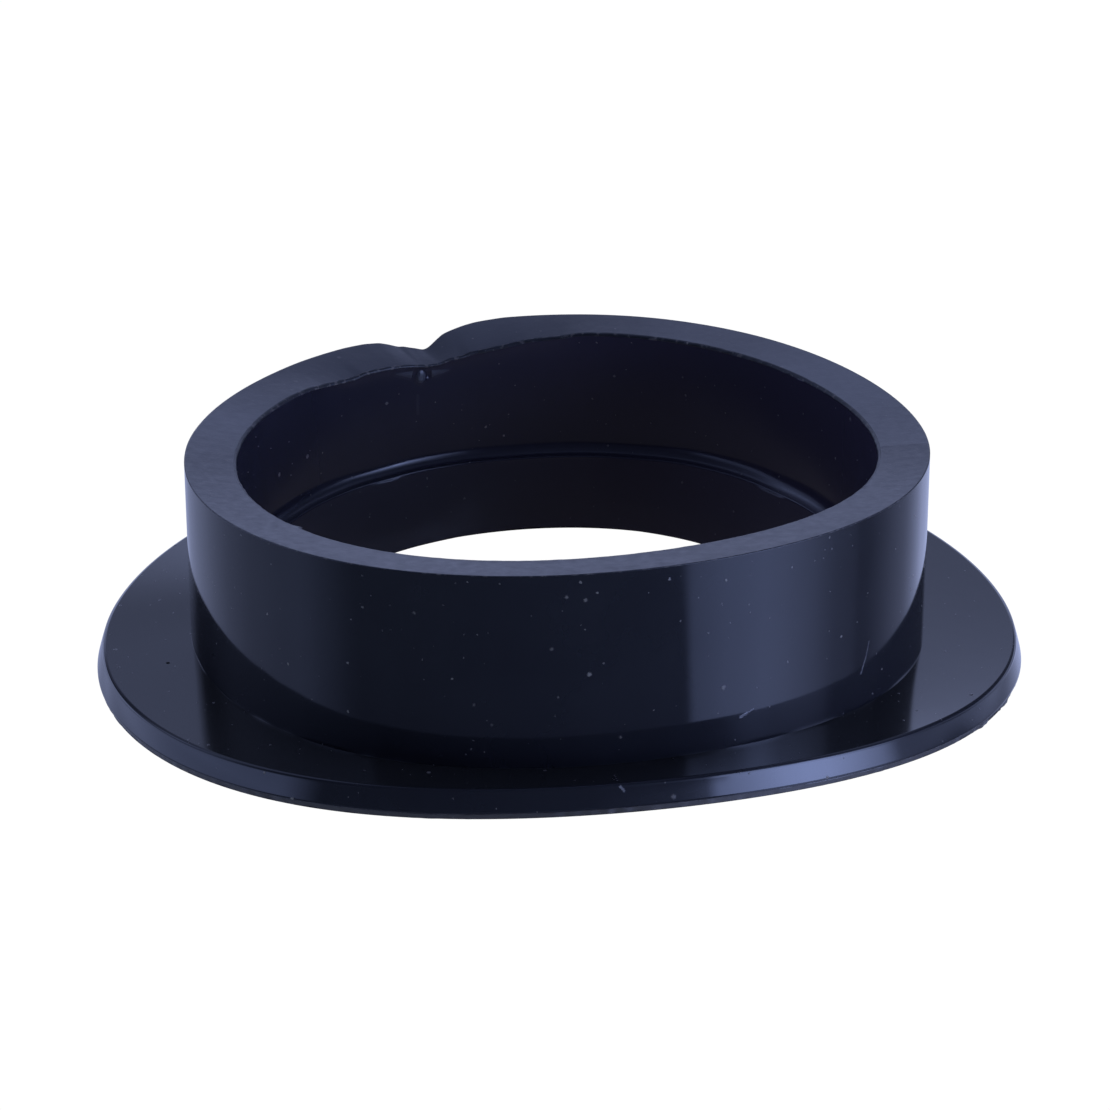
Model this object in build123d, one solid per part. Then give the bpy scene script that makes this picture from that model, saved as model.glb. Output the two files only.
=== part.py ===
from build123d import *
import os
from math import cos, sin, radians

# Toilet flange seal: one soft rubber moulding. A short open collar with a thick wall stands on
# a thin, wider base flange. The collar's upper bore is a socket that ends on a small rounded
# shoulder, and a slightly narrower throat goes on from there through the flange.
# Millimetres. +Z is up along the bore's axis; the origin is the centre of the bore on the
# underside of the flange, where the seal rests.

# ---- driving dimensions -------------------------------------------------------------------
flange_r = 57.15          # outer radius of the base flange (114.3 mm, 4-1/2 in across)
collar_r = 46.0           # outer radius of the collar (92 mm, about 3-5/8 in across)
socket_r = 39.7           # radius of the upper bore (79.4 mm, 3-1/8 in across)
throat_r = 38.1           # radius of the lower bore (76.2 mm, 3 in across)
height = 27.4             # underside of the flange to the top of the rim
flange_t = 3.5            # thickness of the flange

edge_lean = 0.75          # the flange's edge leans in by this much from the parting line to its top
edge_round = 0.35         # rounding between the leaning edge and the flange's top face
parting_z = 1.05          # height of the mould's parting line on the flange's edge
flash_step = 0.22         # the trimmed band below the parting line stands back by this much
foot_lean = 0.18          # and leans in by this much more down to the underside
corner_fillet = 0.6       # inside corner between collar and flange
rim_dish = 0.5            # the rim's top face falls by this much from its outer to its inner edge
rim_outer_round = 0.25    # rounding of the rim's outer edge
lip_round = 0.45          # rounding of the rim's inner edge
throat_mouth_round = 0.3  # rounding of the throat's lower edge

shoulder_z = 10.3         # height of the shoulder between socket and throat
shoulder_edge = 0.1       # rounding of the shoulder's edge
shoulder_fillet = socket_r - throat_r - shoulder_edge   # hollow rounding from the socket's wall to the shoulder

dent_deg = 113.0          # direction of the dent in the rim, from +X towards +Y
dent_depth = 1.7          # how far the rim's outer edge falls at the dent
dent_roll_r = 16.0        # radius of the roll that shapes the dent along the rim
dent_in = 4.6             # how far the dent reaches across the rim from the outer edge


def arc_pts(cx, cz, r, a0, a1):
    """Start, middle and end of an arc in the (r, z) half plane."""
    return [(cx + r * cos(radians(a)), cz + r * sin(radians(a))) for a in (a0, (a0 + a1) / 2, a1)]


def seal_section():
    """Half section of the seal in the X-Z plane, X being the radius."""
    top_edge_r = flange_r - edge_lean
    low_edge_r = flange_r - flash_step
    foot_r = low_edge_r - foot_lean
    rim_in_z = height - rim_dish
    with BuildSketch(Plane.XZ) as sk:
        with BuildLine():
            # underside, from the throat's mouth out to the foot of the edge
            Line((throat_r + throat_mouth_round, 0), (foot_r, 0))
            # trimmed band, parting line, leaning edge, rounded top edge
            Line((foot_r, 0), (low_edge_r, parting_z))
            Line((low_edge_r, parting_z), (flange_r, parting_z + 0.12))
            Line((flange_r, parting_z + 0.12), (top_edge_r + 0.08, flange_t - edge_round))
            ThreePointArc((top_edge_r + 0.08, flange_t - edge_round),
                          (top_edge_r - 0.03, flange_t - 0.10),
                          (top_edge_r - 0.30, flange_t))
            # top of the flange in to the corner fillet
            Line((top_edge_r - 0.30, flange_t), (collar_r + corner_fillet, flange_t))
            ThreePointArc(*arc_pts(collar_r + corner_fillet, flange_t + corner_fillet, corner_fillet, 270, 180))
            # outside of the collar
            Line((collar_r, flange_t + corner_fillet), (collar_r, height - rim_outer_round))
            ThreePointArc(*arc_pts(collar_r - rim_outer_round, height - rim_outer_round, rim_outer_round, 0, 90))
            # dished rim face and rounded inner lip
            Line((collar_r - rim_outer_round, height), (socket_r + lip_round, rim_in_z))
            ThreePointArc(*arc_pts(socket_r + lip_round, rim_in_z - lip_round, lip_round, 90, 180))
            # socket down to the shoulder's hollow rounding, and out along it to its edge
            zc = shoulder_z + shoulder_fillet
            Line((socket_r, rim_in_z - lip_round), (socket_r, zc))
            ThreePointArc(*arc_pts(socket_r - shoulder_fillet, zc, shoulder_fillet, 0, -90))
            ThreePointArc(*arc_pts(throat_r + shoulder_edge, shoulder_z - shoulder_edge, shoulder_edge, 90, 180))
            # throat, and its mouth in the underside
            Line((throat_r, shoulder_z - shoulder_edge), (throat_r, throat_mouth_round))
            ThreePointArc(*arc_pts(throat_r + throat_mouth_round, throat_mouth_round, throat_mouth_round, 180, 270))
        make_face()
    return sk.sketch


def rim_dent():
    """The body that shapes the dent: a short level roll lying across the outer part of the rim."""
    a = radians(dent_deg)
    roll_len = dent_in + 6.0
    mid_r = collar_r - dent_in + roll_len / 2
    centre = (mid_r * cos(a), mid_r * sin(a), height + dent_roll_r - dent_depth)
    return Plane(origin=centre, z_dir=(cos(a), sin(a), 0.0)) * Cylinder(dent_roll_r, roll_len)


def flange_seal():
    return revolve(seal_section(), axis=Axis.Z, revolution_arc=360) - rim_dent()


solids = flange_seal().solids()
assert len(solids) == 1, "the moulding must stay one solid"
seal = solids[0]
seal.label = "flange_seal"

os.makedirs("parts", exist_ok=True)
export_step(seal, "parts/flange_seal.step")
bb = seal.bounding_box()
print("flange_seal volume mm3", round(seal.volume, 1), "box", bb.min, bb.max, "valid", seal.is_valid)
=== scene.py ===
import math

import bpy
import numpy as np
from mathutils import Matrix, Vector


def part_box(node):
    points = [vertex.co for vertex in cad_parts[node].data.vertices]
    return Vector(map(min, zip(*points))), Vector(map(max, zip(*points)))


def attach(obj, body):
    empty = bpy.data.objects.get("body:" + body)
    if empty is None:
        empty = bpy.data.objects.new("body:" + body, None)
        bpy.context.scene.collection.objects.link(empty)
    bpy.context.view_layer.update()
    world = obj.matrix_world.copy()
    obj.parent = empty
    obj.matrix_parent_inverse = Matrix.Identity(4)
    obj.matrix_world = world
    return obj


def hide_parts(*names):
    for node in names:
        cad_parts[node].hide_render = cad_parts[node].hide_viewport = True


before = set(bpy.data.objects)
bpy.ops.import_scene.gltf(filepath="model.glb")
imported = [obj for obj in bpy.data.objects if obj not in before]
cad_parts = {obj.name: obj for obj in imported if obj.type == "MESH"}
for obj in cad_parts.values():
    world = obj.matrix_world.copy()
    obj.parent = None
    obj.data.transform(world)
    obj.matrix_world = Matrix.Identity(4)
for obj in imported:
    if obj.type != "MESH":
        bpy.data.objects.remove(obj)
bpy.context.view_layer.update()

# ------------------------------------------------------------------------------------------
# The seal is soft and has taken a slight set: its flange is saddle-shaped, its rim a little
# oval and wavy, and the rim is buckled at the back left. One dense mesh carries all of that.
# Section sizes are in millimetres, and angles in degrees from +X towards +Y.
# ------------------------------------------------------------------------------------------
CAD_LOW, CAD_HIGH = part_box("flange_seal")
MM = 1e-3
R1 = 46.0                                        # outer radius of the collar
FLANGE_R = (CAD_HIGH.x - CAD_LOW.x) / 2 / MM     # 57.15
RIM_H = 26.82                                    # rim above the flange's underside, relaxed
FLANGE_T = 3.52
SOCKET_R = 39.65
THROAT_R = 37.9
FOOT_R = 36.40                                   # mean radius of the throat at its foot
LIP_R = 0.35
SHOULDER_Z = 9.25
RIM_DISH = 0.55

# the set that the rubber has taken: (harmonic, cosine, sine) in mm
RIM_RADIAL = [(2, -0.337, 0.732), (3, 0.175, -0.157), (4, 0.054, -0.190)]
RIM_LIFT = [(1, 0.536, -0.077), (2, -0.731, -0.051), (3, -0.114, -0.041)]
FLANGE_RADIAL = [(1, 0.381, 2.025), (2, 0.298, 0.812), (3, 0.524, -0.851), (4, 0.200, 0.365)]
FLANGE_LIFT = [(2, -1.125, -0.254), (3, -0.640, 0.308)]
FOOT_RADIAL = [(1, 0.204, -0.218), (2, -0.290, 0.474), (3, 0.088, -0.079), (4, 0.027, -0.095)]
FOOT_LIFT = [(1, -0.083, 0.107), (2, 0.308, -0.071)]
# how the seal lies on the floor, as two small slopes of the frame that the set is written in
SLOPE_X, SLOPE_Y = 0.01042, -0.01869
# the frame's axis runs midway between the collar's and the flange's, which the set has parted
SHIFT_Y = -1.0


def lay_down(p):
    """Turns points (n, 3) from the frame of the set into the one in which the floor is level."""
    cx, sx = math.cos(SLOPE_Y), math.sin(SLOPE_Y)
    m_x = np.array([[1, 0, 0], [0, cx, -sx], [0, sx, cx]])
    cy, sy = math.cos(-SLOPE_X), math.sin(-SLOPE_X)
    m_y = np.array([[cy, 0, sy], [0, 1, 0], [-sy, 0, cy]])
    return p @ (m_y @ m_x).T + np.array([0, SHIFT_Y, 0])


def fourier(terms, th):
    s = np.zeros_like(th)
    for n, a, b in terms:
        s = s + a * np.cos(n * th) + b * np.sin(n * th)
    return s


def ring_noise(th, rng, low, high, power=1.0):
    """Smooth periodic noise round the ring, with waves from low to high per turn, about -1 to 1."""
    s = np.zeros_like(th)
    total = 0.0
    for n in range(low, high + 1):
        w = (low / n) ** power
        s += w * np.cos(n * th + rng.uniform(0, 2 * math.pi))
        total += w * w / 2
    return s / math.sqrt(total) / 1.6


# ---- the section: a closed line of points (r, z) with a part name for each -----------------
class Section:
    def __init__(self):
        self.r, self.z, self.part = [], [], []

    def add(self, r, z, part):
        if self.r and math.hypot(self.r[-1] - r, self.z[-1] - z) < 1e-6:
            return
        self.r.append(r)
        self.z.append(z)
        self.part.append(part)

    def line(self, a, b, step, part, guard=0.06):
        """A straight run, with a point close to each end so that its shading stays flat."""
        d = math.hypot(b[0] - a[0], b[1] - a[1])
        n = max(1, round(d / step))
        ts = [0.0] + ([guard / d] if d > 4 * guard else []) + [i / n for i in range(1, n)]
        ts += ([1 - guard / d] if d > 4 * guard else []) + [1.0]
        for t in sorted(ts):
            self.add(a[0] + (b[0] - a[0]) * t, a[1] + (b[1] - a[1]) * t, part)

    def arc(self, c, radius, a0, a1, n, part):
        for i in range(n + 1):
            a = math.radians(a0 + (a1 - a0) * i / n)
            self.add(c[0] + radius * math.cos(a), c[1] + radius * math.sin(a), part)


def seal_section():
    s = Section()
    foot, lip, top = 0.25, LIP_R, 0.1
    low_r, cut_r = FLANGE_R - 0.20, FLANGE_R - 0.34
    park_z = 0.72                                  # the parting line on the flange's edge
    top_r = FLANGE_R - 0.70
    zc = SHOULDER_Z + (SOCKET_R - 0.24 - THROAT_R)
    # the foot of the throat and the underside
    s.arc((FOOT_R + foot, foot), foot, 180, 270, 5, "throat")
    s.line((FOOT_R + foot, 0), (cut_r, 0), 0.9, "under")
    # trimmed band, the crease at the parting line and the leaning edge
    s.line((cut_r, 0), (low_r, park_z - 0.08), 0.16, "band", 0.05)
    s.add(low_r - 0.04, park_z - 0.02, "crease")
    s.add(low_r - 0.02, park_z + 0.03, "crease")
    s.add(FLANGE_R - 0.04, park_z + 0.06, "edge")
    # (the edge is a little hollow below and leans more towards the top)
    low, mid, high = (FLANGE_R, park_z + 0.12), (FLANGE_R - 0.33, 2.1), (top_r, FLANGE_T - 0.34)
    for i in range(13):
        t = i / 12
        s.add(*((1 - t) ** 2 * low[k] + 2 * t * (1 - t) * mid[k] + t * t * high[k] for k in (0, 1)), "edge")
    s.arc((top_r - 0.385, FLANGE_T - 0.44), 0.40, 16, 82, 8, "edge_round")
    s.add(top_r - 0.40, FLANGE_T - 0.005, "edge_round")
    # the flange's top, the corner and the collar's wall
    s.line((top_r - 0.50, FLANGE_T), (R1, FLANGE_T), 0.45, "flange_top", 0.03)
    s.line((R1, FLANGE_T), (R1, RIM_H - top), 0.5, "wall", 0.03)
    s.arc((R1 - top, RIM_H - top), top, 0, 90, 6, "rim_round")
    # rim, inner lip
    rim_in = RIM_H - RIM_DISH
    s.line((R1 - top, RIM_H), (SOCKET_R + lip, rim_in), 0.22, "rim")
    s.arc((SOCKET_R + lip, rim_in - lip), lip, 85, 180, 9, "lip")
    # socket, shoulder, throat
    s.line((SOCKET_R, rim_in - lip), (SOCKET_R - 0.02, rim_in - 4.0), 0.12, "socket")
    s.line((SOCKET_R - 0.02, rim_in - 4.0), (SOCKET_R - 0.12, zc), 0.4, "socket")
    s.arc((THROAT_R + 0.12, zc), SOCKET_R - 0.24 - THROAT_R, 0, -87, 16, "shoulder")
    s.arc((THROAT_R + 0.16, SHOULDER_Z - 0.16), 0.16, 86, 180, 6, "shoulder_edge")
    s.line((THROAT_R, SHOULDER_Z - 0.16), (FOOT_R + 0.02, foot + 0.12), 0.4, "throat")
    s.r.pop(); s.z.pop(); s.part.pop()             # the last point is the first one again
    return s


# ---- angles, closer together round the buckle ---------------------------------------------
def ring_angles():
    deg, out = 0.0, []
    while deg < 360.0 - 1e-6:
        out.append(deg)
        near = 84.0 <= deg <= 150.0
        deg = round(deg + (0.12 if near else 0.3), 6)
    return np.radians(np.array(out))


# how far the rim has gone at the buckle, as (angle, amount); outer and inner edge of the rim
OUTER_DENT = [(99.0, 0), (102.6, 1.4), (104.1, 2.2), (106.0, 4.3), (108.1, 7.6), (109.5, 10.3), (110.7, 16.1),
              (112.0, 22.9), (112.9, 24.5), (114.3, 21.0), (115.6, 18.6), (116.7, 15.8), (117.4, 15.9), (119.3, 10.7),
              (121.2, 6.3), (124.3, 3.1), (128.3, 1.4), (132.3, 0.7), (138.0, 0)]
INNER_DENT = [(83.0, 0), (86.0, 0.9), (89.0, 3.7), (92.8, 5.4), (95.6, 6.1), (98.4, 9.0), (101.2, 11.2), (104.1, 12.7), (107.0, 13.7),
              (108.1, 16.2), (110.8, 15.9), (113.0, 19.0), (116.0, 18.2), (120.4, 13.6), (123.1, 11.4), (127.5, 9.6),
              (130.3, 8.9), (132.1, 10.5), (135.1, 9.2), (140.7, 5.2), (143.5, 3.0), (146.7, 1.3),
              (150.0, 0.4), (155.0, 0)]
# millimetres of fall, and of travel towards -Y, for each unit of the tables
DENT_DROP = 0.135
DENT_BACK = 0.328


def dent_amount(table, deg):
    a = np.array([t[0] for t in table])
    v = np.array([t[1] for t in table], float)
    fine = np.arange(78.0, 160.0, 0.1)
    f = np.interp(fine, a, v, left=0, right=0)
    k = np.exp(-0.5 * (np.arange(-12, 13) / 4.0) ** 2)
    f = np.convolve(f, k / k.sum(), "same")
    return np.interp(deg, fine, f, left=0, right=0)


def seal_points():
    s = seal_section()
    th = ring_angles()
    deg = np.degrees(th)
    n, m = len(th), len(s.r)
    r0 = np.array(s.r)[None, :].repeat(n, 0)
    z0 = np.array(s.z)[None, :].repeat(n, 0)
    part = np.array(s.part)
    T = th[:, None]
    rng = np.random.RandomState(7)

    # the set: the rim's and the flange's own, blended up the wall
    w = np.clip((z0 - FLANGE_T) / (RIM_H - FLANGE_T), 0, 1)
    rim_dr, rim_dz = fourier(RIM_RADIAL, th)[:, None], fourier(RIM_LIFT, th)[:, None]
    fl_dr, fl_dz = fourier(FLANGE_RADIAL, th)[:, None], fourier(FLANGE_LIFT, th)[:, None]
    foot_dr, foot_dz = fourier(FOOT_RADIAL, th)[:, None], fourier(FOOT_LIFT, th)[:, None]
    u = np.clip((r0 - R1) / (FLANGE_R - 0.8 - R1), 0, 1)
    r = r0 + (1 - w) * (foot_dr + (fl_dr - foot_dr) * u) + w * rim_dr
    z = z0 + (1 - w) * fl_dz * (r0 / FLANGE_R) ** 2 + w * rim_dz
    z = z + (1 - w) * (1 - u) * foot_dz * np.clip(z0 / FLANGE_T, 0, 1) * (r0 > SOCKET_R + 1)

    # the buckle in the rim: it sinks, and its outer side also leans in
    across = np.clip((r0 - SOCKET_R) / (R1 - SOCKET_R), 0, 1)
    amount = (1 - across) * dent_amount(INNER_DENT, deg)[:, None] + across * dent_amount(OUTER_DENT, deg)[:, None]
    depth = np.maximum(RIM_H - z0, 0)
    lean = 0.08 + 0.27 * across
    fade = np.exp(-(depth / 6.0) ** 1.5)
    roll = np.exp(-(depth / (1.5 + 6.0 * across)) ** 2.0)
    z = z - amount * DENT_DROP * (1 - lean) * fade
    back = amount * DENT_BACK * lean * roll

    # small unevenness of moulded and hand-trimmed rubber
    cut = np.isin(part, ["band"])[None, :]
    ragged = ring_noise(th, rng, 40, 220, 0.6)[:, None]
    slow = ring_noise(th, rng, 5, 24, 0.7)[:, None]
    torn = np.exp(-((deg[:, None] - 338.0) / 11.0) ** 2)
    steps = np.interp(deg, [326, 329, 329.3, 333, 333.4, 337, 337.2, 341, 341.3, 344, 344.3, 348, 352],
                      [0, .10, -.14, -.05, .16, .12, -.22, -.12, .14, .20, -.16, -.05, 0])[:, None]
    r = r + cut * (0.045 * ragged * (1 + 2 * torn) + 0.06 * slow + 0.9 * steps)
    edge = np.isin(part, ["edge", "edge_round", "crease"])[None, :]
    r = r + edge * 0.02 * slow
    lip = np.isin(part, ["lip"])[None, :]
    flash = np.clip(ring_noise(th, rng, 30, 160, 0.5)[:, None] + 0.25, 0, 1.5)
    r = r - lip * 0.06 * flash * np.clip(1 - np.abs(z0 - (RIM_H - RIM_DISH - 0.2)) / 0.4, 0, 1)
    tab = np.interp(deg, [218.6, 220.8, 222.4, 222.8, 225.0], [0, .15, .60, .10, 0])[:, None]
    r = r - tab * lip * np.clip(1 - np.abs(z0 - (RIM_H - RIM_DISH - 0.2)) / 0.6, 0, 1)
    wall = np.isin(part, ["wall", "rim_round"])[None, :]
    wave = ring_noise(th, rng, 6, 20, 1.0)[:, None] * 0.02 + ring_noise(th, rng, 20, 60, 1.0)[:, None] * 0.004
    r = r + wall * wave
    bore = np.isin(part, ["socket", "shoulder", "shoulder_edge", "throat"])[None, :]
    r = r + bore * ring_noise(th, rng, 6, 30, 1.0)[:, None] * 0.03
    hollow = 0.45 * np.cos(4 * (T - math.radians(92.0))) + 0.05 * ring_noise(th, rng, 8, 40, 0.8)[:, None]
    r = r + hollow * np.isin(part, ["throat"])[None, :] * np.clip((SHOULDER_Z - z0) / 8.8, 0, 1)
    z = z + np.isin(part, ["shoulder", "shoulder_edge"])[None, :] * ring_noise(th, rng, 5, 30, 0.8)[:, None] * 0.05

    # the shoulder sits a little higher at both sides than at the back
    def step(a, b):
        t = np.clip((deg - a) / (b - a), 0, 1)
        return t * t * (3 - 2 * t)
    side = np.minimum(np.abs(deg - 90.0), 360.0 - np.abs(deg - 90.0))
    low_up = (0.5 + 0.4 * (1 - np.exp(-(side / 25.0) ** 2)))[:, None]
    top_up = low_up + (0.35 * (1 - step(52, 76)) + 0.4 * (1 - step(38, 58)) + 0.5 * step(128, 144) + 0.25 * step(200, 340))[:, None]
    zc = SHOULDER_Z + (SOCKET_R - 0.24 - THROAT_R)
    at_throat = np.clip((z0 - 0.6) / (SHOULDER_Z - 0.6), 0, 1)
    at_top = np.clip((z0 - SHOULDER_Z) / (zc - SHOULDER_Z), 0, 1)
    at_socket = 1 - np.clip((z0 - zc) / (RIM_H - RIM_DISH - 4.0 - zc), 0, 1)
    z = z + bore * at_throat * at_socket * (low_up * (1 - at_top) + top_up * at_top)

    p = np.stack([r * np.cos(T), r * np.sin(T) - back, z], -1).reshape(-1, 3)
    return p, n, m, s, th


# what the buckle has left in the socket's wall: a small nub and the marks of a crease beside it, both with a painted
# highlight
NUB = ((-18.2, 34.25, 22.95), 0.68, 0.34)
GAP = ((-17.35, 34.75, 23.02), 0.40, -0.12)
CREASES = (((-21.5, 32.15, 24.0), (-19.3, 33.6, 23.45)), ((-16.8, 35.03, 23.1), (-14.4, 36.2, 23.25)))


def pinch_marks(p, n, m, s):
    socket = np.isin(np.array(s.part), ["socket"])[None, :].repeat(n, 0).reshape(-1)
    centre = np.array([0, SHIFT_Y, 0])
    inward = -(p - centre) * np.array([1, 1, 0])
    inward /= np.linalg.norm(inward, axis=1)[:, None]
    # the pale mask is a painted highlight on the nub and along the crease ridges
    move, pale_painted_light = np.zeros(len(p)), np.zeros(len(p))
    for c, width, high in (NUB, GAP):
        d = np.linalg.norm((p - np.array(c)) * np.array([1, 1, 0.85]), axis=1) / width
        move += high * np.exp(-d ** 3)
        if high > 0:
            pale_painted_light = np.maximum(pale_painted_light, np.exp(-d ** 4))
    for a, b in CREASES:
        a, b = np.array(a), np.array(b)
        t = np.clip((p - a) @ (b - a) / ((b - a) @ (b - a)), 0, 1)
        d = np.linalg.norm(p - (a + t[:, None] * (b - a)), axis=1)
        close = t if np.linalg.norm(b - np.array(NUB[0])) < np.linalg.norm(a - np.array(NUB[0])) else 1 - t
        ridge = np.exp(-(d / (0.20 + 0.26 * close)) ** 2) * (0.25 + 0.75 * close) * (close < 0.999)
        move += 0.07 * ridge
        pale_painted_light = np.maximum(pale_painted_light, 0.85 * ridge)
    return p + (move * socket)[:, None] * inward, (pale_painted_light * socket).reshape(n, m)


def build_seal():
    p, n, m, s, th = seal_points()
    p = lay_down(p)
    lift = -p[:, 2].min()
    p[:, 2] += lift
    p, pinch_and_highlight = pinch_marks(p, n, m, s)
    p *= MM
    me = bpy.data.meshes.new("flange_seal_moulding")
    i = np.arange(n)[:, None]
    j = np.arange(m)[None, :]
    i2, j2 = (i + 1) % n, (j + 1) % m
    quads = np.stack([i * m + j, i2 * m + j, i2 * m + j2, i * m + j2], -1).reshape(-1, 4)
    me.vertices.add(n * m)
    me.vertices.foreach_set("co", p.astype(np.float32).ravel())
    me.loops.add(quads.size)
    me.loops.foreach_set("vertex_index", quads.astype(np.int32).ravel())
    me.polygons.add(len(quads))
    me.polygons.foreach_set("loop_start", (np.arange(len(quads)) * 4).astype(np.int32))
    me.polygons.foreach_set("loop_total", np.full(len(quads), 4, np.int32))
    me.update(calc_edges=True)
    me.validate()
    me.polygons.foreach_set("use_smooth", np.ones(len(me.polygons), bool))
    # the inside corner between flange and collar is sharp
    corner = [k for k in range(m) if abs(s.r[k] - R1) < 1e-6 and abs(s.z[k] - FLANGE_T) < 1e-6][0]
    ends = np.empty(len(me.edges) * 2, np.int32)
    me.edges.foreach_get("vertices", ends)
    ends = ends.reshape(-1, 2)
    me.edges.foreach_set("use_edge_sharp", (ends[:, 0] % m == corner) & (ends[:, 1] % m == corner))

    # masks that the material reads: matt rim, rough trimmed band, lip, flange top
    part = np.array(s.part)
    def mask(name, parts):
        v = np.isin(part, parts).astype(np.float32)[None, :].repeat(n, 0)
        a = me.attributes.new(name, "FLOAT", "POINT")
        a.data.foreach_set("value", v.ravel())
    mask("m_rim", ["rim"])
    mask("m_band", ["band", "crease"])
    mask("m_lip", ["lip", "rim_round"])
    mask("m_top", ["flange_top"])
    mask("m_bore", ["socket", "shoulder", "shoulder_edge", "throat"])
    mask("m_under", ["under"])
    mask("m_shoulder", ["shoulder", "shoulder_edge"])
    mask("m_throat", ["throat"])
    # painted light: the rim is given a paler colour, and a stronger sheen, on both sides of the buckle and at the back
    # right, where the side lights fall on it
    pale_painted_light = np.interp(np.degrees(th), [0, 16, 24, 33, 40, 48, 56, 67, 76, 84, 93, 104, 110, 122, 132, 142, 150, 158, 166, 174, 186],
                     [.42, .62, .92, 1.0, .98, .78, .54, .53, .18, .05, .24, .38, .22, .22, .29, .29, .36, .52, .72, .46, .08])
    # painted fill light: how much lighter the bore's and throat's colour is made round the ring, most towards the right
    bore_side_painted_light = np.interp(np.degrees(th), [0, 65, 85, 105, 130, 300, 345], [1, 1, .70, .25, 0, 0, 1])
    a = me.attributes.new("m_bore_side_painted_light", "FLOAT", "POINT")
    a.data.foreach_set("value", (bore_side_painted_light[:, None] * np.ones((1, m))).astype(np.float32).ravel())
    a = me.attributes.new("m_pale_painted_light", "FLOAT", "POINT")
    a.data.foreach_set("value", (pale_painted_light[:, None] * np.isin(part, ["rim"])[None, :]).astype(np.float32).ravel())
    a = me.attributes.new("m_pinch_and_highlight", "FLOAT", "POINT")
    a.data.foreach_set("value", pinch_and_highlight.astype(np.float32).ravel())

    ob = bpy.data.objects.new("flange_seal_moulding", me)
    bpy.context.scene.collection.objects.link(ob)
    return ob, lift


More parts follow.
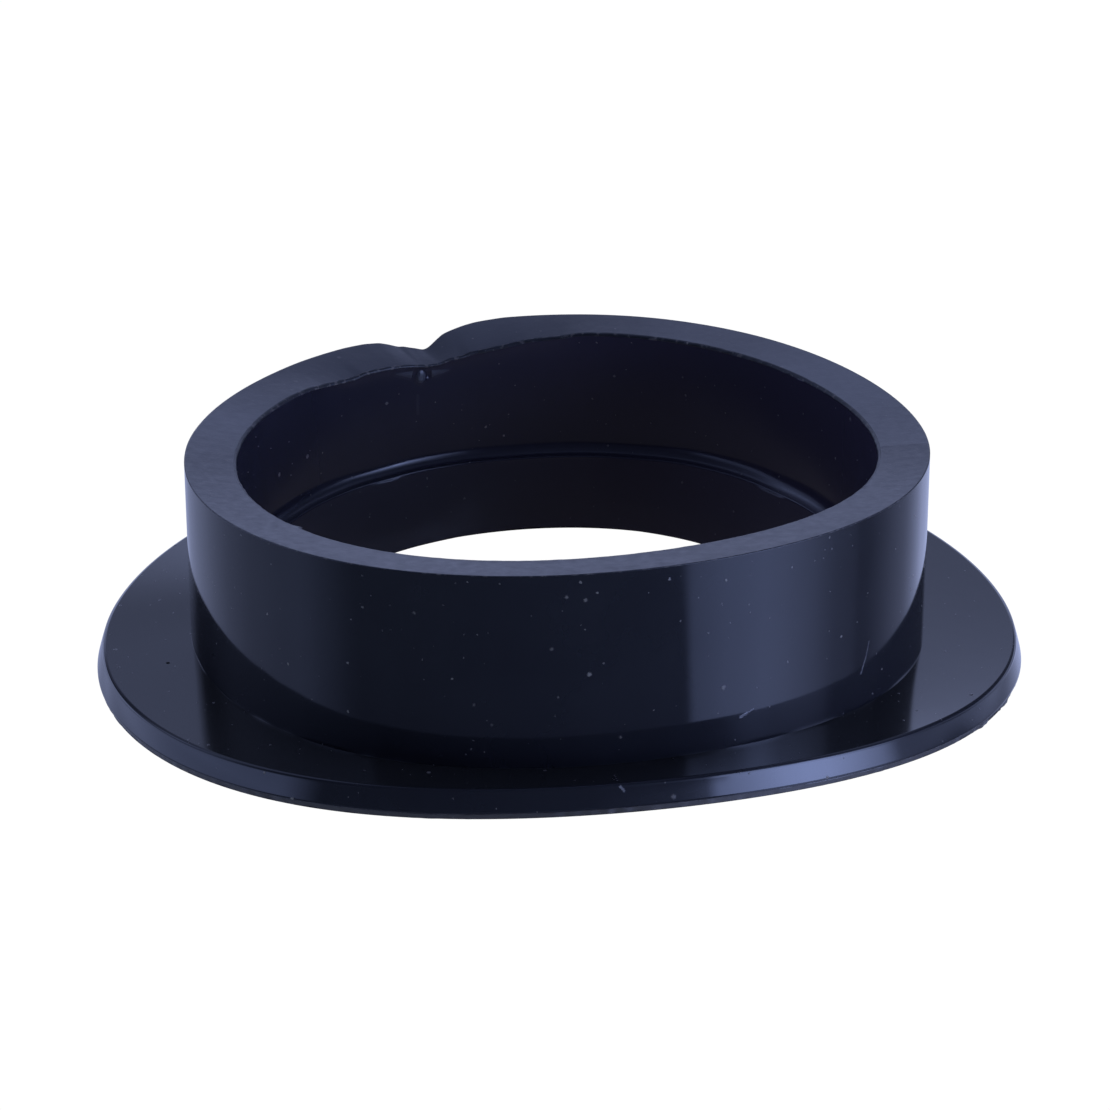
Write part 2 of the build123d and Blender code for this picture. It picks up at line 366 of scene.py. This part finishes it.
# ------------------------------------------------------------------------------------------
# materials
# ------------------------------------------------------------------------------------------
class Nodes:
    """A short hand for building a node tree."""

    def __init__(self, mat):
        mat.use_nodes = True
        self.t = mat.node_tree
        self.t.nodes.clear()

    def new(self, kind, **kw):
        nd = self.t.nodes.new(kind)
        for k, v in kw.items():
            setattr(nd, k, v)
        return nd

    def link(self, a, b):
        self.t.links.new(a, b)

    def feed(self, sock, v):
        if hasattr(v, "is_output") or isinstance(v, bpy.types.NodeSocket):
            self.link(v, sock)
        else:
            sock.default_value = v

    def math(self, op, a, b=None, c=None, clamp=False):
        nd = self.new("ShaderNodeMath", operation=op, use_clamp=clamp)
        self.feed(nd.inputs[0], a)
        if b is not None:
            self.feed(nd.inputs[1], b)
        if c is not None:
            self.feed(nd.inputs[2], c)
        return nd.outputs[0]

    def mix(self, f, a, b):
        nd = self.new("ShaderNodeMix", data_type="RGBA")
        self.feed(nd.inputs[0], f)
        for s, v in ((nd.inputs[6], a), (nd.inputs[7], b)):
            if isinstance(v, (tuple, list)):
                s.default_value = (*v, 1.0) if len(v) == 3 else v
            else:
                self.link(v, s)
        return nd.outputs[2]

    def lerp(self, f, a, b):
        nd = self.new("ShaderNodeMix", data_type="FLOAT")
        self.feed(nd.inputs[0], f)
        self.feed(nd.inputs[2], a)
        self.feed(nd.inputs[3], b)
        return nd.outputs[0]

    def ramp(self, v, lo, hi, a=0.0, b=1.0):
        nd = self.new("ShaderNodeMapRange", clamp=True)
        self.feed(nd.inputs[0], v)
        for k, x in zip((1, 2, 3, 4), (lo, hi, a, b)):
            nd.inputs[k].default_value = x
        return nd.outputs[0]

    def noise(self, vec, scale, detail=2.0, rough=0.5, distort=0.0):
        nd = self.new("ShaderNodeTexNoise")
        self.link(vec, nd.inputs["Vector"])
        nd.inputs["Scale"].default_value = scale
        nd.inputs["Detail"].default_value = detail
        nd.inputs["Roughness"].default_value = rough
        nd.inputs["Distortion"].default_value = distort
        return nd.outputs[0]

    def attr(self, name):
        return self.new("ShaderNodeAttribute", attribute_name=name).outputs["Fac"]

    def stretch(self, vec, scale):
        nd = self.new("ShaderNodeMapping")
        self.link(vec, nd.inputs["Vector"])
        nd.inputs["Scale"].default_value = scale
        return nd.outputs[0]

    def segment(self, vec, a, b, wide):
        """1 within half that width in mm of the line from a to b, both in mm, falling off softly."""
        a, b = Vector(a) * MM, Vector(b) * MM
        pa = self.new("ShaderNodeVectorMath", operation="SUBTRACT")
        self.link(vec, pa.inputs[0])
        pa.inputs[1].default_value = a
        ba = b - a
        if ba.length > 0:
            dot = self.new("ShaderNodeVectorMath", operation="DOT_PRODUCT")
            self.link(pa.outputs[0], dot.inputs[0])
            dot.inputs[1].default_value = ba
            t = self.math("MULTIPLY", dot.outputs["Value"], 1.0 / ba.length_squared, clamp=True)
            on = self.new("ShaderNodeVectorMath", operation="SCALE")
            on.inputs[0].default_value = ba
            self.link(t, on.inputs["Scale"])
            off = self.new("ShaderNodeVectorMath", operation="SUBTRACT")
            self.link(pa.outputs[0], off.inputs[0])
            self.link(on.outputs[0], off.inputs[1])
        else:
            off = pa
        far = self.new("ShaderNodeVectorMath", operation="LENGTH")
        self.link(off.outputs[0], far.inputs[0])
        return self.ramp(far.outputs["Value"], wide * 0.85 * MM, wide * 0.35 * MM)

    def specks(self, vec, cell, size, share, seed):
        """Dots of dust: at most one in each cell of that size in metres, in a share of the cells."""
        nd = self.new("ShaderNodeTexVoronoi", feature="F1", distance="EUCLIDEAN")
        mp = self.new("ShaderNodeMapping")
        self.link(vec, mp.inputs["Vector"])
        mp.inputs["Location"].default_value = (seed * 0.37, seed * 0.11, seed * 0.73)
        self.link(mp.outputs[0], nd.inputs["Vector"])
        nd.inputs["Scale"].default_value = 1.0 / cell
        nd.inputs["Randomness"].default_value = 1.0
        sep = self.new("ShaderNodeSeparateColor")
        self.link(nd.outputs["Color"], sep.inputs[0])
        on = self.math("LESS_THAN", sep.outputs[0], share)
        near = self.ramp(nd.outputs["Distance"], size * 0.55 / cell, size * 0.35 / cell)
        weight = self.math("MULTIPLY", near, on)
        return self.math("MULTIPLY", weight, self.math("ADD", self.math("MULTIPLY", sep.outputs[1], 0.7), 0.3))


# fibres, fine scratches, one faint painted highlight streak and one pit: ends in mm where the seal lies, width in mm,
# weight
FIBRES_AND_HIGHLIGHT = (
    ((6.8, -50.25, 6.84), (7.16, -52.44, 7.19), 0.24, 0.9), ((7.16, -52.44, 7.19), (7.48, -53.66, 7.18), 0.26, 1.0),
    ((7.48, -53.66, 7.18), (7.82, -53.78, 6.75), 0.24, 1.0),
    ((21.4, -41.26, 10.0), (22.1, -40.85, 10.35), 0.26, 0.9), ((22.1, -40.85, 10.3), (22.9, -40.36, 10.65), 0.16, 0.7),
    ((37.0, -27.44, 13.55), (36.7, -27.97, 11.85), 0.14, 0.5), ((36.7, -27.97, 11.85), (36.1, -28.83, 10.0), 0.18, 0.7),
    ((-32.95, -34.08, 19.3), (-32.45, -34.58, 18.9), 0.16, 0.7), ((-32.45, -34.58, 18.9), (-31.85, -35.18, 18.7), 0.16, 0.7),
    ((27.45, 30.78, 27.65), (29.6, 29.94, 27.7), 0.12, 0.5), ((38.7, 20.43, 27.8), (40.2, 19.2, 27.85), 0.14, 0.6),
    # the last one on the next line, under the nub, is a painted highlight: a faint streak of light down the buckle
    ((35.1, 24.2, 27.7), (37.5, 20.95, 27.7), 0.10, 0.3), ((-18.43, 34.08, 20.5), (-18.42, 33.98, 18.0), 0.36, 0.07),
    ((-21.8, -42.4, 21.95), (-22.4, -42.1, 23.6), 0.12, 0.3), ((-22.4, -42.1, 23.6), (-23.5, -41.5, 25.2), 0.12, 0.35),
)
PIT = (-47.19, -15.94, 3.95)
# the larger crumbs of dust: place and width in mm, and weight
CRUMBS = (
    ((-14.22, -47.71, 5.5), 0.44, 1.0), ((-1.04, -47.98, 6.1), 0.36, 0.8), ((-29.79, -48.36, 2.42), 0.36, 0.9),
    ((7.53, -46.37, 9.73), 0.34, 0.35), ((-9.18, -46.59, 13.6), 0.34, 0.35), ((-7.12, -46.92, 11.29), 0.34, 0.35),
    ((-33.84, 23.78, 25.98), 0.50, 0.55), ((-28.75, 32.28, 26.26), 0.46, 0.6), ((-40.52, -4.35, 26.04), 0.40, 0.5),
    ((-40.16, 0.04, 25.9), 0.36, 0.5), ((36.74, -15.38, 28.12), 0.50, 1.0), ((1.12, -46.68, 27.14), 0.36, 0.5),
    ((3.25, -46.46, 26.71), 0.36, 0.5), ((-16.02, -44.79, 24.09), 0.36, 0.5), ((-0.46, -46.97, 20.87), 0.36, 0.45),
    ((19.26, -42.13, 14.19), 0.40, 0.5), ((44.8, -10.54, 10.82), 0.34, 0.5), ((46.11, -2.81, 4.26), 0.34, 0.5),
    ((-35.56, 15.02, 16.64), 0.40, 0.5), ((-34.16, 20.86, 25.96), 0.40, 0.5), ((-16.25, -48.22, 5.47), 0.36, 0.3),
    ((13.47, -53.03, 5.7), 0.44, 0.35), ((36.99, 13.07, 26.03), 0.50, 0.35), ((-22.42, 31.43, 20.35), 0.36, 0.25),
)


def rubber_material():
    mat = bpy.data.materials.new("gloss_navy_rubber")
    k = Nodes(mat)
    out = k.new("ShaderNodeOutputMaterial")
    bsdf = k.new("ShaderNodeBsdfPrincipled")
    k.link(bsdf.outputs[0], out.inputs[0])
    co = k.new("ShaderNodeTexCoord").outputs["Object"]
    rim, band, lip, top, bore, shoulder, throat, pinch_and_highlight, pale_painted_light, bore_side_painted_light = (
        k.attr("m_" + a) for a in ("rim", "band", "lip", "top", "bore", "shoulder", "throat", "pinch_and_highlight", "pale_painted_light", "bore_side_painted_light"))

    # colour: a deep navy black, a little uneven, greyer where it was cut, with dust on it; with painted fill light in
    # the bore and throat, painted light on parts of the rim and a painted highlight on the buckle's nub and creases
    cloud = k.noise(co, 60.0, 4.0, 0.6)
    base = k.mix(k.ramp(cloud, 0.35, 0.65), (0.0095, 0.0105, 0.0165), (0.0125, 0.0140, 0.0210))
    fine = k.noise(co, 900.0, 3.0, 0.6)
    # painted fill light: the bore's colour is made lighter, more so towards the right, to stand in for light that the
    # deep bore doesn't get
    bore_painted_fill = k.mix(k.ramp(cloud, 0.3, 0.7), (0.0170, 0.0180, 0.0320), (0.0210, 0.0215, 0.0370))
    bore_painted_fill = k.mix(bore_side_painted_light, bore_painted_fill, (0.039, 0.036, 0.066))
    base = k.mix(bore, base, bore_painted_fill)
    # painted fill light: the throat's colour lighter still, more so towards the right
    base = k.mix(throat, base, k.mix(bore_side_painted_light, (0.040, 0.040, 0.054), (0.074, 0.069, 0.100)))
    base = k.mix(k.math("MULTIPLY", top, 0.8), base, (0.0240, 0.0250, 0.0265))
    cut_col = k.mix(k.ramp(fine, 0.3, 0.7), (0.020, 0.021, 0.030), (0.028, 0.030, 0.042))
    base = k.mix(k.math("MULTIPLY", rim, 0.75), base, cut_col)
    # painted light: a paler rim where the side lights fall on it
    base = k.mix(k.math("MULTIPLY", pale_painted_light, 0.45), base, (0.12, 0.12, 0.135))
    base = k.mix(k.math("MULTIPLY", band, 0.7), base, (0.060, 0.056, 0.062))
    wob = k.new("ShaderNodeTexNoise")
    k.link(co, wob.inputs["Vector"])
    wob.inputs["Scale"].default_value = 5200.0
    shake = k.new("ShaderNodeVectorMath", operation="SCALE")
    k.link(wob.outputs["Color"], shake.inputs[0])
    shake.inputs["Scale"].default_value = 0.00030
    moved = k.new("ShaderNodeVectorMath", operation="ADD")
    k.link(co, moved.inputs[0])
    k.link(shake.outputs[0], moved.inputs[1])
    at = moved.outputs[0]
    dust = k.specks(at, 0.0024, 0.00036, 0.48, 1)
    dust2 = k.specks(at, 0.0012, 0.00021, 0.36, 5)
    dust3 = k.specks(at, 0.0052, 0.00062, 0.24, 9)
    dust_all = k.math("MAXIMUM", k.math("MAXIMUM", k.math("MULTIPLY", dust, 0.8), k.math("MULTIPLY", dust2, 0.5)), dust3)
    dust_all = k.math("MULTIPLY", dust_all, k.lerp(bore, 1.0, 0.6))
    dust4 = k.math("MULTIPLY", k.specks(at, 0.0017, 0.00036, 0.42, 13), k.math("MULTIPLY", rim, 0.55))
    crumbs = k.math("MULTIPLY", k.ramp(k.noise(co, 1300.0, 2.0, 0.5), 0.54, 0.66), k.math("MULTIPLY", lip, 0.42))
    dust_all = k.math("MAXIMUM", dust_all, k.math("MAXIMUM", dust4, crumbs))
    for place, wide, weight in CRUMBS:
        dust_all = k.math("MAXIMUM", dust_all, k.math("MULTIPLY", k.segment(at, place, place, wide), weight))
    fibre_and_highlight = None
    for a, b, wide, weight in FIBRES_AND_HIGHLIGHT:
        f = k.math("MULTIPLY", k.segment(at, a, b, wide), weight)
        fibre_and_highlight = f if fibre_and_highlight is None else k.math("MAXIMUM", fibre_and_highlight, f)
    pit = k.segment(co, PIT, PIT, 0.42)
    base = k.mix(k.math("MULTIPLY", dust_all, 0.75), base, (0.28, 0.27, 0.28))
    # fibres and scratches, and the painted highlight streak under the nub
    base = k.mix(k.math("MULTIPLY", fibre_and_highlight, 0.5), base, (0.24, 0.25, 0.31))
    # painted highlight on the buckle's nub and crease marks
    base = k.mix(k.math("MULTIPLY", pinch_and_highlight, 0.6), base, (0.105, 0.122, 0.155))
    base = k.mix(k.math("MULTIPLY", pit, 0.9), base, (0.004, 0.004, 0.005))
    k.link(base, bsdf.inputs["Base Color"])

    # roughness: glossy moulded skin with faint smears, matt rim, rough trimmed band
    smear = k.noise(k.stretch(co, (40.0, 40.0, 9.0)), 1.0, 5.0, 0.65)
    streak = k.noise(k.stretch(co, (12.0, 12.0, 420.0)), 1.0, 3.0, 0.6)
    skin = k.math("ADD", k.ramp(smear, 0.35, 0.75, 0.055, 0.10), k.ramp(streak, 0.45, 0.8, 0.0, 0.03))
    rough = k.lerp(rim, skin, k.ramp(fine, 0.3, 0.7, 0.34, 0.43))
    rough = k.lerp(band, rough, 0.40)
    rough = k.lerp(k.math("MULTIPLY", top, 0.7), rough, 0.125)
    rough = k.lerp(k.math("MULTIPLY", bore, 0.6), rough, 0.30)
    rough = k.lerp(lip, rough, 0.42)
    rough = k.lerp(shoulder, rough, k.ramp(fine, 0.3, 0.7, 0.15, 0.24))
    rough = k.lerp(pinch_and_highlight, rough, 0.5)
    rough = k.lerp(fibre_and_highlight, rough, 0.5)
    rough = k.lerp(pit, rough, 0.9)
    rough = k.lerp(dust_all, rough, 0.8)
    k.link(rough, bsdf.inputs["Roughness"])
    bsdf.inputs["IOR"].default_value = 1.55
    shine = k.lerp(throat, k.lerp(shoulder, k.lerp(pale_painted_light, 0.5, 1.3), 0.55), 0.27)
    k.link(k.lerp(pit, shine, 0.05), bsdf.inputs["Specular IOR Level"])
    bsdf.inputs["Specular Tint"].default_value = (0.76, 0.84, 1.0, 1.0)

    # bump: grain of the cut rim, ripple of the skin, raised dust
    grain = k.noise(co, 2600.0, 3.0, 0.6)
    pits = k.noise(co, 700.0, 2.0, 0.5)
    ripple = k.noise(co, 110.0, 2.0, 0.5)
    h_rim = k.math("MULTIPLY", rim, k.math("ADD", k.math("MULTIPLY", grain, 0.012), k.math("MULTIPLY", pits, 0.03)))
    h_band = k.math("MULTIPLY", band, k.math("MULTIPLY", pits, 0.12))
    h = k.math("ADD", h_rim, h_band)
    h = k.math("ADD", h, k.math("MULTIPLY", ripple, 0.010))
    h = k.math("ADD", h, k.math("MULTIPLY", dust_all, 0.02))
    h = k.math("ADD", h, k.math("MULTIPLY", k.math("MAXIMUM", pinch_and_highlight, fibre_and_highlight), k.math("MULTIPLY", grain, 0.05)))
    bump = k.new("ShaderNodeBump")
    bump.inputs["Strength"].default_value = 1.0
    bump.inputs["Distance"].default_value = MM
    k.link(h, bump.inputs["Height"])
    k.link(bump.outputs[0], bsdf.inputs["Normal"])
    return mat


def plain(name, colour, strength=None, rough=0.5, metallic=0.0):
    mat = bpy.data.materials.new(name)
    k = Nodes(mat)
    out = k.new("ShaderNodeOutputMaterial")
    if strength is not None:
        e = k.new("ShaderNodeEmission")
        e.inputs[0].default_value = (*colour, 1)
        e.inputs[1].default_value = strength
        k.link(e.outputs[0], out.inputs[0])
    else:
        b = k.new("ShaderNodeBsdfPrincipled")
        b.inputs["Base Color"].default_value = (*colour, 1)
        b.inputs["Roughness"].default_value = rough
        b.inputs["Metallic"].default_value = metallic
        k.link(b.outputs[0], out.inputs[0])
    return mat


# ------------------------------------------------------------------------------------------
# the seal
# ------------------------------------------------------------------------------------------
seal, lift_mm = build_seal()
seal.data.materials.append(rubber_material())
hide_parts("flange_seal")
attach(seal, "root")

# ------------------------------------------------------------------------------------------
# stage: a pale floor and surround for the camera, and soft studio light on a tent round the part
# ------------------------------------------------------------------------------------------
def stage_mesh(name, verts, faces, mat, **rays):
    me = bpy.data.meshes.new(name)
    me.from_pydata(verts, [], faces)
    me.materials.append(mat)
    ob = bpy.data.objects.new(name, me)
    bpy.context.scene.collection.objects.link(ob)
    for ray in ("camera", "diffuse", "glossy", "transmission", "volume_scatter", "shadow"):
        setattr(ob, "visible_" + ray, rays.get(ray, False))
    return ob


WHITE = plain("pale_ground", (1.0, 1.0, 1.0), 1.02)
stage_mesh("pale_floor", [(-6, -6, -0.0002), (6, -6, -0.0002), (6, 6, -0.0002), (-6, 6, -0.0002)], [(0, 1, 2, 3)],
           WHITE, camera=True)
ring = [(5.5 * math.cos(a), 5.5 * math.sin(a), z) for a in np.linspace(0, 2 * math.pi, 65)[:-1] for z in (-0.5, 7.0)]
stage_mesh("pale_surround", ring, [(2 * i, (2 * i + 2) % 128, (2 * i + 3) % 128, 2 * i + 1) for i in range(64)],
           WHITE, camera=True)


# the table is dark inside the seal, where no light reaches it
stage_mesh("shade_in_the_bore", [(0.0555 * math.cos(a), 0.0555 * math.sin(a), -0.0001) for a in np.linspace(0, 2 * math.pi, 65)[:-1]],
           [tuple(range(64))], plain("shade", (1.0, 0.90, 1.0), 0.10), glossy=True, diffuse=True)


def smooth(x, a, b):
    t = np.clip((x - a) / (b - a), 0, 1)
    return t * t * (3 - 2 * t)


def window(x, lo, hi, soft_lo, soft_hi):
    return smooth(x, lo - soft_lo, lo + soft_lo) * (1 - smooth(x, hi - soft_hi, hi + soft_hi))


def tent_light(az, el):
    """How bright the tent is in one direction, in degrees: 0 is +X and 90 is the back."""
    az = np.where(az < -140, az + 360.0, az)
    # above the table: the back sweep, a key light at the right front and a low fill at the left
    dim = np.interp(el, [-3, 12, 28, 45, 60, 90], [0.07, 0.06, 0.04, 0.06, 0.07, 0.09])
    dim = dim + 0.16 * window(az, 20, 160, 15, 15) * smooth(el, 36, 50)
    back = window(az, 38, 160, 22, 14) * np.interp(az, [20, 31, 41, 50, 60, 70, 80, 90, 100, 113, 134, 150, 165],
                                                    [.35, .45, .58, .74, .88, .98, .97, .95, .92, .90, .88, .70, .50])
    back = back * np.interp(el, [-3, 5, 12, 17, 22, 32, 45, 60, 90], [.55, .90, .95, .66, .38, .26, .20, .08, .02])
    back = back * (1 - 0.9 * (1 - window(az, 69, 119, 5, 6)) * smooth(el, 10, 15) * (1 - smooth(el, 30, 40)))
    lean = smooth(az, 84, 96)
    back = back * ((1 - lean) * np.interp(el, [14, 18.4, 20.7, 22.5, 26], [.86, .86, .95, .92, 1])
                   + lean * np.interp(el, [20, 22.5, 24, 25.2, 26, 27, 32], [1, .60, .80, 1.0, 1.22, 1.28, 1]))
    back = back + window(az, 0, 42, 6, 8) * np.interp(az, [0, 12, 20], [.18, .27, .40]) * np.interp(el, [-3, 6, 14], [1, 1, 0])
    crisp = smooth(el, 8, 16)
    left = (window(az, 150, 213.5, 18, 1.6) * crisp + window(az, 150, 215.0, 18, 6.5) * (1 - crisp)) * np.interp(el, [-3, 0, 6, 15, 22, 26, 31, 37, 42, 48, 54],
                                                       [.70, .80, .72, .38, .28, .5, 1.4, 1.3, .7, .2, 0])
    left = left * (1 + (np.interp(az, [150, 160, 166, 177, 185, 205], [1, .55, .37, .16, .07, 0]) - 1) * smooth(el, 25, 31))
    left = left * (1 + (np.interp(az, [180, 192, 205, 213], [1, .6, .3, .2]) - 1) * smooth(el, 17, 25))
    low = np.interp(az, [-80, -62, -58, -54, -51, -44, -36, -30, -24, -17, -8, -3, 4, 12, 20],
                    [0, .035, .06, .12, .48, .66, .92, 1, .95, .75, .42, .09, .035, .02, 0])
    high = np.interp(az, [-49.5, -47.5, -45, -36, -28, -24, -16, -6, 1, 4, 8, 15, 24, 30],
                     [0, .58, .69, .91, 1.03, 1.0, .56, .40, .24, .07, .05, .03, .02, 0])
    key = (low + (high - low) * smooth(el, 7, 15)) * np.interp(el, [-3, 3, 12, 22, 30, 40, 52], [4.4, 5.0, 5.0, 3.2, 1.6, .5, 0])
    key = key * (1 + (np.interp(az, [-50, -42, -34, -31, -27, -22, -12, -4, 2], [.2, .2, .4, .6, .9, 1.05, 1.15, 1.05, 1.0]) - 1)
                 * smooth(el, 12, 17))
    above = dim + back + left + key
    # what the glossy table gives back of it
    below = np.interp(az, [-140, -60, -47.6, -45.2, -36, -24, -17, -8, -3, 2, 8, 10, 12.5, 18, 24, 31, 41, 50, 60, 69, 90,
                           113, 134, 149, 165, 180, 186, 192, 197, 202, 207, 212],
                      [.08, .08, .10, .74, 1.0, 1.15, 1.0, .66, .46, .285, .205, .17, .11, .115, .17, .245, .31, .50, .66, .60,
                       .45, .38, .38, .32, .27, .28, .30, .28, .22, .17, .12, .08])
    below = below * (1 + 0.5 * window(az, 125, 190, 8, 8) * smooth(el, -19, -15))
    drop = 6.0 * smooth(az, 14, 30)
    return below + (above - below) * smooth(el + drop, -9, -3)


def tent():
    az = np.concatenate([np.arange(-140.0, -54, 1), np.arange(-54, 0, 0.5), np.arange(0, 209.0, 1), np.arange(209, 220, 0.5)])
    for name, els, rays in (("tent_above", np.concatenate([[-3.0, -1.0], np.arange(0.0, 89.0, 2.0), [90.0]]), dict(glossy=True, diffuse=True)),
                            ("tent_below", np.concatenate([[-88.0, -60, -40, -30, -20], np.arange(-17.0, -2, 1.0)]), dict(glossy=True))):
        n, m = len(az), len(els)
        A, E = np.meshgrid(np.radians(az), np.radians(els), indexing="ij")
        v = 1.6 * np.stack([np.cos(E) * np.cos(A), np.cos(E) * np.sin(A), np.sin(E)], -1).reshape(-1, 3)
        f = [(i * m + j, ((i + 1) % n) * m + j, ((i + 1) % n) * m + j + 1, i * m + j + 1) for i in range(n) for j in range(m - 1)]
        mat = bpy.data.materials.new(name)
        k = Nodes(mat)
        e = k.new("ShaderNodeEmission")
        k.link(k.new("ShaderNodeAttribute", attribute_name="glow").outputs["Color"], e.inputs[0])
        k.link(e.outputs[0], k.new("ShaderNodeOutputMaterial").inputs[0])
        ob = stage_mesh(name, [tuple(p) for p in v], f, mat, **rays)
        L = tent_light(*np.meshgrid(az, els, indexing="ij")).reshape(-1)
        rgba = np.stack([L * TINT[0], L * TINT[1], L * TINT[2], np.ones_like(L)], -1)
        glow = ob.data.attributes.new("glow", "FLOAT_COLOR", "POINT")
        glow.data.foreach_set("color", rgba.astype(np.float32).ravel())


TINT = (0.87, 1.0, 1.61)
tent()

world = bpy.data.worlds.new("studio")
bpy.context.scene.world = world
world.use_nodes = True
world.node_tree.nodes["Background"].inputs[0].default_value = (0.76, 0.88, 1.0, 1)
world.node_tree.nodes["Background"].inputs[1].default_value = 0.70
for ray in ("camera", "glossy", "transmission", "scatter"):
    setattr(world.cycles_visibility, ray, False)

# ------------------------------------------------------------------------------------------
# camera
# ------------------------------------------------------------------------------------------
FRAME_PX = 1110
ELEV, ROLL, DIST = 0.40789, 0.0044, 10 * R1
FOCAL_PX, AIM_X, AIM_Y = 3651.8, 555.327, 638.435

eye = np.array([0.0, -math.cos(ELEV), math.sin(ELEV)])
ahead = -eye
right = np.array([1.0, 0, 0])
up = np.cross(right, ahead)
r2 = math.cos(ROLL) * right + math.sin(ROLL) * up
u2 = -math.sin(ROLL) * right + math.cos(ROLL) * up
# the middle of the picture looks along this line
mid = ahead + (FRAME_PX / 2 - AIM_X) / FOCAL_PX * r2 - (FRAME_PX / 2 - AIM_Y) / FOCAL_PX * u2
axes = lay_down(np.stack([eye * DIST, mid / np.linalg.norm(mid), u2]))
axes[1:] -= np.array([0, SHIFT_Y, 0])
pos = axes[0] + np.array([0, 0, lift_mm])
fwd = Vector(axes[1]).normalized()
upv = Vector(axes[2])
rgt = fwd.cross(upv).normalized()
upv = rgt.cross(fwd).normalized()
cam_data = bpy.data.cameras.new("camera")
cam = bpy.data.objects.new("camera", cam_data)
bpy.context.scene.collection.objects.link(cam)
cam_data.sensor_width = 36.0
cam_data.lens = 36.0 * FOCAL_PX * np.linalg.norm(mid) / FRAME_PX
cam_data.clip_start, cam_data.clip_end = 0.01, 50.0
m = Matrix((rgt, upv, -fwd)).transposed().to_4x4()
m.translation = Vector(pos) * MM
cam.matrix_world = m
bpy.context.scene.camera = cam
bpy.context.scene.view_settings.view_transform = "Standard"
